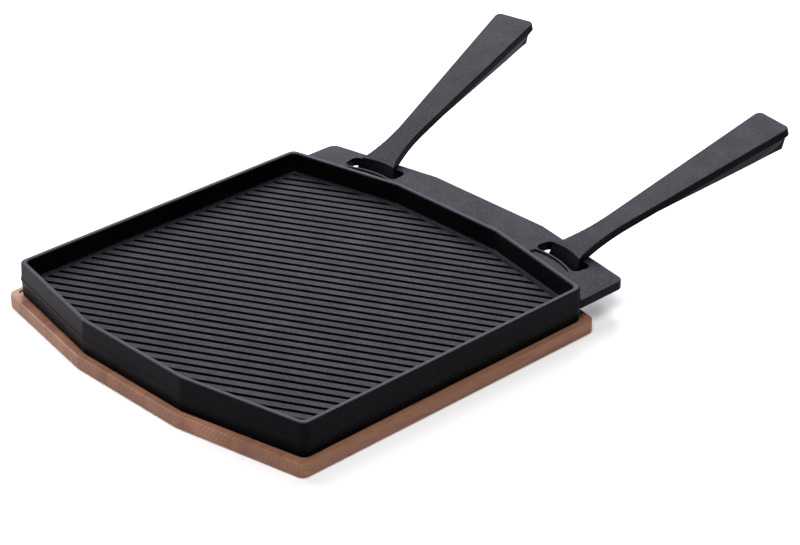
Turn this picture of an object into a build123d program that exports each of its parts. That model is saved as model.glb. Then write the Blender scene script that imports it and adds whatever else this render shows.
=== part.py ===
from build123d import *
from math import ceil, cos, hypot, pi, radians, sin, tan
import os

os.makedirs("parts", exist_ok=True)

# Plan outline of the plate, at the rim
plate_half_width = 150.0
side_half_length = 128.6
end_bow = 19.9
facet_half_width = 51.4
corner_radius = 7.0
bend_radius = 9.0

# Wooden base
base_thickness = 11.0
base_overhang = 6.0
corner_spread = 1.9
base_corner_radius = 6.0
base_top_round = 1.2
base_bottom_chamfer = 1.0
stave_width = 39.2
stave_count = 9

# Recess that locates the plate
recess_depth = 1.2
recess_gap = 2.0
recess_corner_radius = 4.0

# Plate casting
plate_height = 26.0
seam_bulge = 0.6
seam_ridge = 0.35
seam_width = 0.9
wall_thickness = 4.0
rim_round = 1.3
ribbed_depth = 15.8
flat_depth = 6.8
wall_draft = 5.0
inner_corner_radius = 5.0
floor_round = 2.5

# Ribs of the deep tray
rib_angle = 28.5
rib_pitch = 8.44
rib_phase = 4.67
rib_foot_width = 6.6
rib_height = 2.8
rib_draft = 14.0
rib_top_round = 1.2
rib_end_slope = 45.0
rib_border = 3.5

# Back flange
flange_reach = 40.2
flange_thickness = 6.6
flange_corner_radius = 7.0
flange_edge_round = 0.8

# Handle slots, laid out about the middle of each handle foot
handle_inset = 51.9
handle_reach = 28.4
handle_splay = 10.5
slot_half_width = 24.0
slot_front = 8.2
slot_front_radius = 64.0
slot_back = 4.5
slot_corner_radius = 5.0

# Finger pockets between the slots and the wall
pocket_depth = 1.3
pocket_land = 1.6
pocket_half_width = 20.0
pocket_corner_radius = 1.0

# Handles
handle_rise = 16.2
handle_length = 195.5
foot_half_width = 14.7
neck_half_width = 9.5
neck_position = 48.0
end_half_width = 17.7
end_corner_radius = 4.5
foot_top_height = 3.6
neck_thickness = 5.65
grip_start = 74.0
grip_thickness = 19.4
grip_draft = 25.0
grip_edge_round = 0.8
foot_gap = 0.3

# Hook below each handle foot
web_back = 2.0
web_step = 2.5
web_foot = 3.0
toe_half_width = 18.0
toe_reach = 14.0
toe_thickness = 4.6
toe_corner_radius = 2.5
front_lean = 16.4

# Heights
recess_floor = base_thickness - recess_depth
plate_bottom = recess_floor
plate_top = plate_bottom + plate_height
plate_middle = plate_bottom + plate_height / 2
flange_bottom = plate_middle - flange_thickness / 2
flange_top = plate_middle + flange_thickness / 2
ribbed_floor = plate_top - ribbed_depth
flat_floor = plate_bottom + flat_depth

# Angles of the outline and place of the handles
handle_x = plate_half_width - handle_inset
facet_run = plate_half_width - facet_half_width
facet_length = hypot(facet_run, end_bow)
facet_sine = end_bow / facet_length
facet_cosine = facet_run / facet_length
bend_ratio = facet_sine / (1 + facet_cosine)
corner_ratio = facet_cosine / (1 + facet_sine)
body_draft = 180 / pi * seam_bulge / (plate_height / 2)


def outline_points(grow, spread=0.0):
    side_x = plate_half_width + grow
    side_y = side_half_length + spread + grow * corner_ratio
    end_x = facet_half_width + grow * bend_ratio
    end_y = side_half_length + end_bow + grow
    return [
        (side_x, -side_y),
        (side_x, side_y),
        (end_x, end_y),
        (-end_x, end_y),
        (-side_x, side_y),
        (-side_x, -side_y),
        (-end_x, -end_y),
        (end_x, -end_y),
    ]


def draw_outline(grow, corner, bend, spread=0.0):
    Polygon(*outline_points(grow, spread), align=None)
    corners = [v for v in vertices() if abs(v.X) > facet_half_width + facet_run / 2]
    fillet(corners, radius=corner)
    bends = [v for v in vertices() if abs(v.X) < facet_half_width + facet_run / 4]
    fillet(bends, radius=bend)


# Base, cut into its glued staves
base_half_width = plate_half_width + base_overhang
base_half_length = side_half_length + end_bow + base_overhang
with BuildPart() as base:
    with BuildSketch():
        draw_outline(base_overhang, base_corner_radius, bend_radius, corner_spread)
    extrude(amount=base_thickness)
    fillet(base.faces().sort_by(Axis.Z)[-1].edges(), radius=base_top_round)
    chamfer(base.faces().sort_by(Axis.Z)[0].edges(), length=base_bottom_chamfer)
    with BuildSketch(Plane.XY.offset(recess_floor)):
        draw_outline(recess_gap, recess_corner_radius, bend_radius)
    extrude(amount=recess_depth, mode=Mode.SUBTRACT)

first_joint = -stave_width * (stave_count - 2) / 2
for index in range(stave_count):
    stave_left = first_joint + stave_width * (index - 1)
    stave_right = stave_left + stave_width
    if index == 0:
        stave_left = -base_half_width
    if index == stave_count - 1:
        stave_right = base_half_width
    with BuildPart() as stave:
        add(base.part)
        with Locations(((stave_left + stave_right) / 2, 0, base_thickness / 2)):
            Box(stave_right - stave_left, 2 * base_half_length, base_thickness, mode=Mode.INTERSECT)
    stave.part.label = f"base_stave_{index + 1}"
    export_step(stave.part, f"parts/base_stave_{index + 1}.step")

# Frame of each handle foot: x along the slot, y away from the plate
facet_distance = handle_reach - facet_sine * (handle_x - facet_half_width)
handle_y = side_half_length + end_bow + facet_distance / facet_cosine
splay_sine = sin(radians(handle_splay))
splay_cosine = cos(radians(handle_splay))
rise_sine = sin(radians(handle_rise))
rise_cosine = cos(radians(handle_rise))


def foot_plane(side, height):
    return Plane(
        origin=(side * handle_x, handle_y, height),
        x_dir=(splay_cosine, -side * splay_sine, 0),
        z_dir=(0, 0, 1),
    )


slot_centre = -slot_front - slot_front_radius


def arc_depth(radius, half_width):
    return slot_centre + (radius ** 2 - half_width ** 2) ** 0.5


def draw_slot():
    slot_side = arc_depth(slot_front_radius, slot_half_width)
    with BuildLine() as slot_line:
        ThreePointArc((-slot_half_width, slot_side), (0, -slot_front), (slot_half_width, slot_side))
        Polyline(
            (slot_half_width, slot_side),
            (slot_half_width, slot_back),
            (-slot_half_width, slot_back),
            (-slot_half_width, slot_side),
        )
    make_face(slot_line.edges())
    fillet(vertices(), radius=slot_corner_radius)


def draw_pocket():
    pocket_radius = slot_front_radius - pocket_land
    pocket_side = arc_depth(pocket_radius, pocket_half_width)
    pocket_foot = pocket_land - handle_reach
    with BuildLine() as pocket_line:
        ThreePointArc(
            (-pocket_half_width, pocket_side),
            (0, slot_centre + pocket_radius),
            (pocket_half_width, pocket_side),
        )
        Polyline(
            (pocket_half_width, pocket_side),
            (pocket_half_width, pocket_foot),
            (-pocket_half_width, pocket_foot),
            (-pocket_half_width, pocket_side),
        )
    make_face(pocket_line.edges())
    fillet(vertices(), radius=pocket_corner_radius)


def flange_points():
    side_x = plate_half_width + seam_bulge
    points = outline_points(flange_reach, corner_spread)
    outer_x, outer_y = points[1]
    end_x, end_y = points[2]
    cut = (outer_x - side_x) / (outer_x - end_x)
    side_y = outer_y + cut * (end_y - outer_y)
    start_y = side_half_length - corner_radius
    return [
        (side_x, start_y),
        (side_x, side_y),
        (end_x, end_y),
        (-end_x, end_y),
        (-side_x, side_y),
        (-side_x, start_y),
    ]


def edges_at(block, height):
    level = round(height, 3)
    return [edge for edge in block.edges() if round(edge.center().Z, 3) == level]


# Ribs of the deep tray
tray_half_span = hypot(plate_half_width, side_half_length + end_bow)
rib_count = ceil(tray_half_span / rib_pitch)
rib_across = (-sin(radians(rib_angle)), cos(radians(rib_angle)), 0)
rib_along = (cos(radians(rib_angle)), sin(radians(rib_angle)), 0)
rib_foot = rib_foot_width / 2
rib_crest = rib_foot - rib_height * tan(radians(rib_draft))
foot_inset = wall_thickness + ribbed_depth * tan(radians(wall_draft)) + rib_border
with BuildPart() as ribs:
    with BuildSketch(Plane(origin=(0, 0, ribbed_floor), x_dir=rib_across, z_dir=rib_along)):
        with Locations(*[(rib_phase + index * rib_pitch, 0) for index in range(-rib_count, rib_count + 1)]):
            Polygon((-rib_foot, 0), (rib_foot, 0), (rib_crest, rib_height), (-rib_crest, rib_height), align=None)
        fillet([v for v in vertices() if v.Z > ribbed_floor + rib_height / 2], radius=rib_top_round)
    extrude(amount=tray_half_span, both=True)
    with BuildSketch(Plane.XY.offset(ribbed_floor)):
        with BuildLine():
            Polyline(*outline_points(-foot_inset), close=True)
        make_face()
    extrude(amount=rib_height, taper=rib_end_slope, mode=Mode.INTERSECT)

# Plate casting
with BuildPart() as plate:
    with BuildSketch(Plane.XY.offset(flange_bottom)):
        with BuildLine():
            Polyline(*flange_points(), close=True)
        make_face()
        tips = [v for v in vertices() if v.Y > 0 and abs(v.X) > plate_half_width]
        fillet(tips, radius=flange_corner_radius)
        flange_bends = [v for v in vertices() if v.Y > side_half_length + end_bow + flange_reach / 2]
        bends = [v for v in flange_bends if abs(v.X) < facet_half_width + facet_run / 4]
        fillet(bends, radius=bend_radius)
    extrude(amount=flange_thickness)
    fillet(plate.edges().group_by(Axis.Z)[-1], radius=flange_edge_round)
    fillet(plate.edges().group_by(Axis.Z)[0], radius=flange_edge_round)
    with BuildSketch(Plane.XY.offset(plate_middle)):
        draw_outline(seam_bulge, corner_radius, bend_radius)
    extrude(amount=plate_height / 2, both=True, taper=body_draft)
    with BuildSketch(Plane.XY.offset(plate_middle)):
        draw_outline(seam_bulge + seam_ridge, corner_radius, bend_radius)
    extrude(amount=seam_width / 2, both=True)
    with BuildSketch(Plane.XY.offset(plate_top)):
        draw_outline(-wall_thickness, inner_corner_radius, bend_radius)
    extrude(amount=-ribbed_depth, taper=wall_draft, mode=Mode.SUBTRACT)
    fillet(edges_at(plate, ribbed_floor), radius=floor_round)
    with BuildSketch(Plane.XY.offset(plate_bottom)):
        draw_outline(-wall_thickness, inner_corner_radius, bend_radius)
    extrude(amount=flat_depth, taper=wall_draft, mode=Mode.SUBTRACT)
    fillet(edges_at(plate, flat_floor), radius=floor_round)
    fillet(plate.edges().group_by(Axis.Z)[-1], radius=rim_round)
    fillet(plate.edges().group_by(Axis.Z)[0], radius=rim_round)
    for side in (-1, 1):
        with BuildSketch(foot_plane(side, flange_bottom)):
            draw_slot()
        extrude(amount=flange_thickness, mode=Mode.SUBTRACT)
        with BuildSketch(foot_plane(side, flange_top - pocket_depth)):
            draw_pocket()
        extrude(amount=pocket_depth, mode=Mode.SUBTRACT)
        with BuildSketch(foot_plane(side, flange_bottom)):
            draw_pocket()
        extrude(amount=pocket_depth, mode=Mode.SUBTRACT)
    add(ribs.part)
plate.part.label = "plate"
export_step(plate.part, "parts/plate.step")


# Heights and slopes of the handles
foot_top = flange_top + foot_top_height
heel_height = flange_top + foot_gap
toe_top = flange_bottom - foot_gap
toe_bottom = toe_top - toe_thickness
rise_slope = rise_sine / rise_cosine
front_slope = tan(radians(front_lean))
heel_end = (heel_height + neck_thickness / rise_cosine - foot_top) / rise_slope
end_slope = (end_half_width - neck_half_width) / (handle_length - neck_position)
front_radius = slot_front_radius + slot_front
front_apex = front_radius - (front_radius ** 2 - foot_half_width ** 2) ** 0.5
cutter_margin = 2.0
cutter_reach = 2 * toe_reach
block_reach = 3 * grip_thickness


def side_plane(side):
    return Plane(
        origin=(side * handle_x, handle_y, 0),
        x_dir=(side * splay_sine, splay_cosine, 0),
        z_dir=(splay_cosine, -side * splay_sine, 0),
    )


def front_plane(side):
    return Plane(
        origin=(side * handle_x, handle_y, 0),
        x_dir=(splay_cosine, -side * splay_sine, 0),
        z_dir=(-side * splay_sine, -splay_cosine, 0),
    )


def top_plane(side, depth):
    plane = Plane(
        origin=(side * handle_x, handle_y, foot_top),
        x_dir=(splay_cosine, -side * splay_sine, 0),
        z_dir=(-side * splay_sine * rise_sine, -splay_cosine * rise_sine, rise_cosine),
    )
    return plane.offset(-depth)


def along_top(distance, depth):
    reach = distance * rise_cosine + depth * rise_sine
    height = foot_top + distance * rise_sine - depth * rise_cosine
    return (reach, height)


def draw_grip():
    with BuildLine() as grip_line:
        for mirror in (-1, 1):
            neck = (mirror * neck_half_width, neck_position)
            TangentArc(neck, (mirror * foot_half_width, 0), tangent=(-mirror * end_slope, -1))
            Line(neck, (mirror * end_half_width, handle_length))
        Line((-end_half_width, handle_length), (end_half_width, handle_length))
        Line((-foot_half_width, 0), (foot_half_width, 0))
    make_face(grip_line.edges())
    fillet([v for v in vertices() if v.Y > handle_length / 2], radius=end_corner_radius)


def draw_front_cutter():
    cutter_apex = front_apex + cutter_margin * front_slope
    cutter_side = cutter_apex - front_radius + (front_radius ** 2 - cutter_reach ** 2) ** 0.5
    with BuildLine() as cutter_line:
        ThreePointArc((-cutter_reach, cutter_side), (0, cutter_apex), (cutter_reach, cutter_side))
        Polyline(
            (cutter_reach, cutter_side),
            (cutter_reach, -cutter_reach),
            (-cutter_reach, -cutter_reach),
            (-cutter_reach, cutter_side),
        )
    make_face(cutter_line.edges())


# Handles
for side, name in ((-1, "handle_left"), (1, "handle_right")):
    with BuildPart() as hook:
        with BuildSketch(side_plane(side)):
            Polygon(
                (-toe_reach, toe_bottom),
                (web_back - web_foot, toe_bottom),
                (web_back - web_step, flange_bottom - web_step),
                (web_back, flange_bottom + foot_gap),
                (web_back, foot_top + web_back * rise_slope),
                (0, foot_top),
                (-front_slope * (foot_top - toe_top), toe_top),
                (-toe_reach, toe_top),
                align=None,
            )
        extrude(amount=toe_half_width, both=True)
        with BuildSketch(front_plane(side)):
            Polygon(
                (-toe_half_width, toe_bottom),
                (toe_half_width, toe_bottom),
                (toe_half_width, toe_top),
                (foot_half_width, foot_top),
                (foot_half_width, foot_top + foot_top_height),
                (-foot_half_width, foot_top + foot_top_height),
                (-foot_half_width, foot_top),
                (-toe_half_width, toe_top),
                align=None,
            )
        extrude(amount=block_reach, both=True, mode=Mode.INTERSECT)
    with BuildPart() as handle:
        with BuildSketch(top_plane(side, 0)):
            draw_grip()
        extrude(amount=-neck_thickness)
        with BuildSketch(top_plane(side, neck_thickness)):
            draw_grip()
        extrude(amount=neck_thickness - grip_thickness, taper=grip_draft)
        with BuildSketch(side_plane(side)):
            Polygon(
                (0, heel_height),
                (heel_end, heel_height),
                along_top(grip_start, neck_thickness),
                along_top(handle_length, grip_thickness),
                along_top(handle_length + cutter_margin, grip_thickness),
                along_top(handle_length + cutter_margin, -cutter_margin),
                (0, foot_top + cutter_margin),
                align=None,
            )
        extrude(amount=block_reach, both=True, mode=Mode.INTERSECT)
        add(hook.part)
        with BuildSketch(foot_plane(side, foot_top + cutter_margin)):
            draw_front_cutter()
        extrude(
            amount=(foot_top + cutter_margin - toe_top) * hypot(1, front_slope),
            dir=(-side * splay_sine * front_slope, -splay_cosine * front_slope, -1),
            mode=Mode.SUBTRACT,
        )
        toe_corners = [
            edge for edge in handle.edges().filter_by(Axis.Z) if edge.center().Z < toe_top
        ]
        fillet(toe_corners, radius=toe_corner_radius)
        grip_top = handle.faces().filter_by(top_plane(side, 0)).sort_by(SortBy.AREA)[-1]
        grip_rim = [edge for edge in grip_top.edges() if edge.center().Z > foot_top + neck_thickness / 2]
        fillet(grip_rim, radius=grip_edge_round)
    handle.part.label = name
    export_step(handle.part, f"parts/{name}.step")
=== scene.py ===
import math

import bpy
from mathutils import Matrix, Vector

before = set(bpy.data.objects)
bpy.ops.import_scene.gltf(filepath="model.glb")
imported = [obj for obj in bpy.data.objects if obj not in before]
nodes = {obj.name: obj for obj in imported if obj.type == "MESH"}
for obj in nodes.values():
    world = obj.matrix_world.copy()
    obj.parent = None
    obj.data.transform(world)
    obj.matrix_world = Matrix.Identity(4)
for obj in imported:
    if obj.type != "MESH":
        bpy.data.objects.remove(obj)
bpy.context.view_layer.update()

# Camera fitted to the photo, angles in degrees, lengths in metres
CAMERA_AZIMUTH = 46.325
CAMERA_ELEVATION = 28.639
CAMERA_ROLL = -0.077
CAMERA_DISTANCE = 1.8242
AIM_RIGHT = 0.07163
AIM_UP = 0.03242
SENSOR_WIDTH = 36.0
PHOTO_WIDTH = 800
FOCAL_PIXELS = 2602.25
SHIFT_RIGHT = -0.0015

# Iron colours
IRON_BLACK = (0.0016, 0.0015, 0.0019)
IRON_BROWN = (0.0024, 0.0022, 0.0029)
# Painted light: the level faces get this lighter colour, as if lit from above
IRON_LIT_TOP = (0.0100, 0.0094, 0.0118)
# Grain specks on level faces: partly cast grain, partly painted glints of sheen
IRON_SPECK_GLINT = (0.0250, 0.0232, 0.0290)
# Painted highlight along the rim top
IRON_RIM_HIGHLIGHT = (0.042, 0.039, 0.046)
IRON_PIT = (0.0008, 0.0008, 0.0010)
IRON_TINT = (0.90, 0.86, 1.0, 1)

# Iron surface
SPECULAR_LEVEL = 0.034
TOP_ROUGH = (0.50, 0.58)
WALL_ROUGH_SPREAD = 0.08
PIT_ROUGH = (0.85, 0.85, 0.85)
WALL_RELIEF = 0.08
TOP_RELIEF = 0.60
SKIN_DEPTH = 0.00030
PIT_DEPTH = 0.0004

# Wood colours and surface
WOOD_DARK = (0.170, 0.075, 0.044)
WOOD_PALE = (0.335, 0.160, 0.101)
WOOD_PORE = (0.085, 0.038, 0.023)
GLUE = (0.055, 0.024, 0.015)
RING_SHARE = 0.36
PATCH_SHARE = 0.64
DRIFT_SHARE = 0.40
PORE_SHARE = 0.60
WOOD_SPECULAR = 0.25
PORE_DEPTH = 0.00025

# Lights
LIGHT_DISTANCE = 2.3
LIGHT_CENTRE = Vector((0, 0.05, 0))
LIGHT_SIZE = 1.1
COOL = (0.94, 0.91, 1.0)
WHITE = (1.0, 1.0, 1.0)
WORLD_STRENGTH = 0.02
FLOOR_SIZE = 6.0
FLOOR_DROP = 0.0002
FLOOR_GREY = 0.66
FLOOR_GLOW = 0.22


def from_angles(azimuth, elevation):
    return Vector((
        math.cos(azimuth) * math.cos(elevation),
        math.sin(azimuth) * math.cos(elevation),
        math.sin(elevation),
    ))


def make_camera():
    azimuth = math.radians(CAMERA_AZIMUTH)
    elevation = math.radians(CAMERA_ELEVATION)
    roll = math.radians(CAMERA_ROLL)
    back = from_angles(azimuth - math.pi / 2, elevation)
    level_right = Vector((math.cos(azimuth), math.sin(azimuth), 0))
    level_up = back.cross(level_right)
    right = level_right * math.cos(roll) + level_up * math.sin(roll)
    up = level_up * math.cos(roll) - level_right * math.sin(roll)
    place = back * CAMERA_DISTANCE + right * AIM_RIGHT + up * AIM_UP
    data = bpy.data.cameras.new("camera")
    data.sensor_fit = "HORIZONTAL"
    data.sensor_width = SENSOR_WIDTH
    data.lens = FOCAL_PIXELS / PHOTO_WIDTH * SENSOR_WIDTH
    data.shift_x = SHIFT_RIGHT
    data.clip_start = 0.05
    data.clip_end = 20
    camera = bpy.data.objects.new("camera", data)
    turn = Matrix((right, up, back)).transposed().to_4x4()
    camera.matrix_world = Matrix.Translation(place) @ turn
    bpy.context.scene.collection.objects.link(camera)
    bpy.context.scene.camera = camera


# Small helpers for node trees
class Tree:
    def __init__(self, name):
        self.material = bpy.data.materials.new(name)
        self.material.use_nodes = True
        self.nodes = self.material.node_tree.nodes
        self.links = self.material.node_tree.links
        self.shader = next(n for n in self.nodes if n.type == "BSDF_PRINCIPLED")

    def node(self, kind, **settings):
        node = self.nodes.new(kind)
        for key, value in settings.items():
            if key in node.inputs.keys():
                node.inputs[key].default_value = value
            else:
                setattr(node, key, value)
        return node

    def link(self, source, target):
        self.links.new(source, target)

    def feed(self, value, socket):
        if isinstance(value, bpy.types.NodeSocket):
            self.link(value, socket)
        elif isinstance(value, tuple):
            socket.default_value = (*value, 1)
        else:
            socket.default_value = value

    def noise(self, vector, scale, detail=3.0, roughness=0.5):
        node = self.node("ShaderNodeTexNoise", Scale=scale, Detail=detail, Roughness=roughness)
        self.link(vector, node.inputs["Vector"])
        return node.outputs["Fac"]

    def ramp(self, source, start, end, low=0.0, high=1.0):
        node = self.node("ShaderNodeValToRGB")
        elements = node.color_ramp.elements
        for element, place, value in zip(elements, (start, end), (low, high)):
            element.position = place
            element.color = (value, value, value, 1)
        self.link(source, node.inputs["Fac"])
        return node.outputs["Color"]

    def mix(self, factor, first, second):
        node = self.node("ShaderNodeMix", data_type="RGBA", blend_type="MIX")
        self.feed(factor, node.inputs[0])
        self.feed(first, node.inputs[6])
        self.feed(second, node.inputs[7])
        return node.outputs[2]

    def math(self, operation, first, second=0.0, third=0.0):
        node = self.node("ShaderNodeMath", operation=operation)
        self.feed(first, node.inputs[0])
        self.feed(second, node.inputs[1])
        self.feed(third, node.inputs[2])
        return node.outputs[0]

    def coordinate(self, kind):
        return self.node("ShaderNodeTexCoord").outputs[kind]

    def part(self, vector, index):
        split = self.node("ShaderNodeSeparateXYZ")
        self.link(vector, split.inputs[0])
        return split.outputs[index]

    def place(self, scale=(1, 1, 1), shift=(0, 0, 0)):
        mapping = self.node("ShaderNodeMapping", Scale=scale, Location=shift)
        self.link(self.coordinate("Object"), mapping.inputs["Vector"])
        return mapping.outputs["Vector"]

    def bump(self, height, strength, distance, after=None):
        node = self.node("ShaderNodeBump", Distance=distance)
        self.feed(strength, node.inputs["Strength"])
        self.link(height, node.inputs["Height"])
        if after is not None:
            self.link(after, node.inputs["Normal"])
        return node.outputs["Normal"]


# Seasoned cast iron: speckled on the flat faces, smoother on the walls; the level faces are painted
# lighter as painted light from above, the specks are partly painted glints, and the rim top carries a
# painted highlight
def cast_iron(name, shift, shine, rim_height, wall_rough):
    tree = Tree(name)
    here = tree.place(shift=shift)
    grain = tree.noise(here, 820.0, 3.0, 0.65)
    fine = tree.noise(here, 2000.0, 2.0, 0.6)
    upright = tree.math("ABSOLUTE", tree.part(tree.coordinate("Normal"), 2))
    level = tree.ramp(upright, 0.30, 0.75)

    cells = tree.node("ShaderNodeTexVoronoi", Scale=420.0)
    tree.link(here, cells.inputs["Vector"])
    pit_mask = tree.ramp(cells.outputs["Distance"], 0.0, 0.16, 1.0, 0.0)
    rare = tree.ramp(tree.noise(here, 150.0, 2.0), 0.56, 0.66)
    pit = tree.math("MULTIPLY", pit_mask, rare)

    cloudy = tree.ramp(tree.noise(here, 22.0, 4.0, 0.55), 0.35, 0.65)
    base = tree.mix(cloudy, IRON_BLACK, IRON_BROWN)
    # Painted light: level faces painted lighter than the walls, where light falls from above
    painted_lit_top = tree.mix(level, base, IRON_LIT_TOP)
    # Grain specks on the level faces only: partly cast grain, partly painted glints of sheen where
    # light falls
    speck_glints = tree.math("MULTIPLY", level, tree.ramp(grain, 0.44, 0.62))
    with_speck_glints = tree.mix(speck_glints, painted_lit_top, IRON_SPECK_GLINT)
    # Painted highlight: everything above rim_height is painted bright along the rim top
    on_rim = tree.math("GREATER_THAN", tree.part(tree.place(), 2), rim_height)
    rim_highlighted = tree.mix(on_rim, with_speck_glints, IRON_RIM_HIGHLIGHT)
    tree.link(tree.mix(pit, rim_highlighted, IRON_PIT), tree.shader.inputs["Base Color"])

    top_rough = tree.ramp(tree.noise(here, 60.0), 0.3, 0.7, *TOP_ROUGH)
    side_rough = tree.ramp(tree.noise(here, 34.0), 0.3, 0.7, wall_rough, wall_rough + WALL_ROUGH_SPREAD)
    rough = tree.mix(level, side_rough, top_rough)
    tree.link(tree.mix(pit, rough, PIT_ROUGH), tree.shader.inputs["Roughness"])
    tree.shader.inputs["Specular IOR Level"].default_value = SPECULAR_LEVEL * shine
    tree.shader.inputs["Specular Tint"].default_value = IRON_TINT

    relief = tree.math("MULTIPLY_ADD", level, TOP_RELIEF - WALL_RELIEF, WALL_RELIEF)
    skin = tree.bump(tree.mix(0.35, grain, fine), relief, SKIN_DEPTH)
    pitted = tree.bump(tree.math("SUBTRACT", 1.0, pit), 0.6, PIT_DEPTH, skin)
    tree.link(pitted, tree.shader.inputs["Normal"])
    return tree.material


# Oiled hardwood: grain along Y, growth rings on the ends, glue lines at the joints
def wood(name, shift, tone, lean, joints, glue_share):
    tree = Tree(name)
    dark, pale, pore = (tuple(c * tone for c in colour) for colour in (WOOD_DARK, WOOD_PALE, WOOD_PORE))
    stretched = tree.place((1.0, 0.05, 1.0), shift)
    pores = tree.noise(stretched, 1100.0, 2.0, 0.7)

    leaning = tree.node("ShaderNodeMapping", Rotation=(0, math.radians(lean), 0))
    tree.link(stretched, leaning.inputs["Vector"])
    rings = tree.node("ShaderNodeTexWave", wave_type="BANDS", bands_direction="X",
                      Scale=112.0, Distortion=2.2, Detail=2.0)
    rings.inputs["Detail Scale"].default_value = 1.2
    tree.link(leaning.outputs["Vector"], rings.inputs["Vector"])
    ring = tree.math("MULTIPLY", tree.ramp(rings.outputs["Fac"], 0.15, 0.85), RING_SHARE)
    patches = tree.noise(stretched, 60.0, 3.0, 0.55)
    patch = tree.math("MULTIPLY", tree.ramp(patches, 0.32, 0.68), PATCH_SHARE)
    base = tree.mix(tree.math("ADD", ring, patch), dark, pale)

    drift = tree.noise(tree.place((1.0, 0.3, 1.0), shift), 16.0)
    toned = tree.mix(tree.math("MULTIPLY", tree.ramp(drift, 0.34, 0.66), DRIFT_SHARE), base, dark)
    lined = tree.mix(tree.math("MULTIPLY", tree.ramp(pores, 0.54, 0.70), PORE_SHARE), toned, pore)
    across = tree.part(tree.coordinate("Generated"), 0)
    at_joint = tree.math("ADD", tree.math("LESS_THAN", across, joints[0]),
                         tree.math("GREATER_THAN", across, joints[1]))
    colour = tree.mix(tree.math("MULTIPLY", at_joint, glue_share), lined, GLUE)
    tree.link(colour, tree.shader.inputs["Base Color"])

    tree.link(tree.ramp(pores, 0.3, 0.7, 0.50, 0.64), tree.shader.inputs["Roughness"])
    tree.shader.inputs["Specular IOR Level"].default_value = WOOD_SPECULAR
    tree.link(tree.bump(pores, 0.3, PORE_DEPTH), tree.shader.inputs["Normal"])
    return tree.material


def dress(name, material):
    nodes[name].data.materials.clear()
    nodes[name].data.materials.append(material)


# Tone, lean of the rings in degrees, glue line strength of each stave
STAVES = (
    (1.10, 12, 0.45),
    (0.94, -24, 0.70),
    (1.03, 34, 0.30),
    (0.87, 8, 0.40),
    (0.98, -15, 0.22),
    (0.91, 28, 0.32),
    (1.01, -32, 0.24),
    (0.88, 18, 0.34),
    (0.96, -8, 0.28),
)

# Share of a stave's width left and right of which its glue lines lie
FIRST_JOINTS = (-1.0, 0.978)
INNER_JOINTS = (0.011, 0.989)
LAST_JOINTS = (0.022, 2.0)

# Heights in metres, above which the rim top is painted bright as a painted highlight
PLATE_RIM = 0.0357
NO_RIM = 1.0


def dress_all():
    dress("plate", cast_iron("iron_plate", (0.3, 0.1, 0.2), 1.07, PLATE_RIM, 0.30))
    dress("handle_left", cast_iron("iron_handle_left", (1.3, 0.4, 0.7), 1.46, NO_RIM, 0.56))
    dress("handle_right", cast_iron("iron_handle_right", (2.1, 0.9, 0.4), 1.32, NO_RIM, 0.56))
    for number, (tone, lean, glue_share) in enumerate(STAVES, 1):
        joints = INNER_JOINTS
        if number == 1:
            joints = FIRST_JOINTS
        if number == len(STAVES):
            joints = LAST_JOINTS
        shift = (0.37 * number, 0.61 * number, 0.17 * number)
        material = wood(f"wood_{number}", shift, tone, lean, joints, glue_share)
        dress(f"base_stave_{number}", material)


def make_floor():
    mesh = bpy.data.meshes.new("floor")
    corners = [(-FLOOR_SIZE, -FLOOR_SIZE, 0), (FLOOR_SIZE, -FLOOR_SIZE, 0),
               (FLOOR_SIZE, FLOOR_SIZE, 0), (-FLOOR_SIZE, FLOOR_SIZE, 0)]
    mesh.from_pydata(corners, [], [(0, 1, 2, 3)])
    floor = bpy.data.objects.new("floor", mesh)
    floor.location = (0, 0, -FLOOR_DROP)
    bpy.context.scene.collection.objects.link(floor)
    tree = Tree("floor")
    tree.shader.inputs["Base Color"].default_value = (FLOOR_GREY, FLOOR_GREY, FLOOR_GREY, 1)
    tree.shader.inputs["Emission Color"].default_value = (1, 1, 1, 1)
    tree.shader.inputs["Emission Strength"].default_value = FLOOR_GLOW
    tree.shader.inputs["Roughness"].default_value = 0.9
    tree.shader.inputs["Specular IOR Level"].default_value = 0.1
    mesh.materials.append(tree.material)


def softbox(name, azimuth, elevation, power, colour):
    away = from_angles(math.radians(azimuth), math.radians(elevation))
    data = bpy.data.lights.new(name, "AREA")
    data.shape = "SQUARE"
    data.size = LIGHT_SIZE
    data.energy = power
    data.color = colour
    light = bpy.data.objects.new(name, data)
    light.location = away * LIGHT_DISTANCE + LIGHT_CENTRE
    light.rotation_euler = (-away).to_track_quat("-Z", "Y").to_euler()
    bpy.context.scene.collection.objects.link(light)


def make_world():
    world = bpy.data.worlds.new("studio")
    world.use_nodes = True
    background = world.node_tree.nodes["Background"]
    background.inputs["Color"].default_value = (1, 1, 1, 1)
    background.inputs["Strength"].default_value = WORLD_STRENGTH
    bpy.context.scene.world = world


make_camera()
dress_all()
make_floor()
softbox("key", 138, 34, 64, COOL)
softbox("key_high", 135, 58, 30, COOL)
softbox("side", 194, 14, 66, WHITE)
softbox("fill", 315, 58, 50, WHITE)
make_world()
bpy.context.scene.view_settings.view_transform = "Standard"
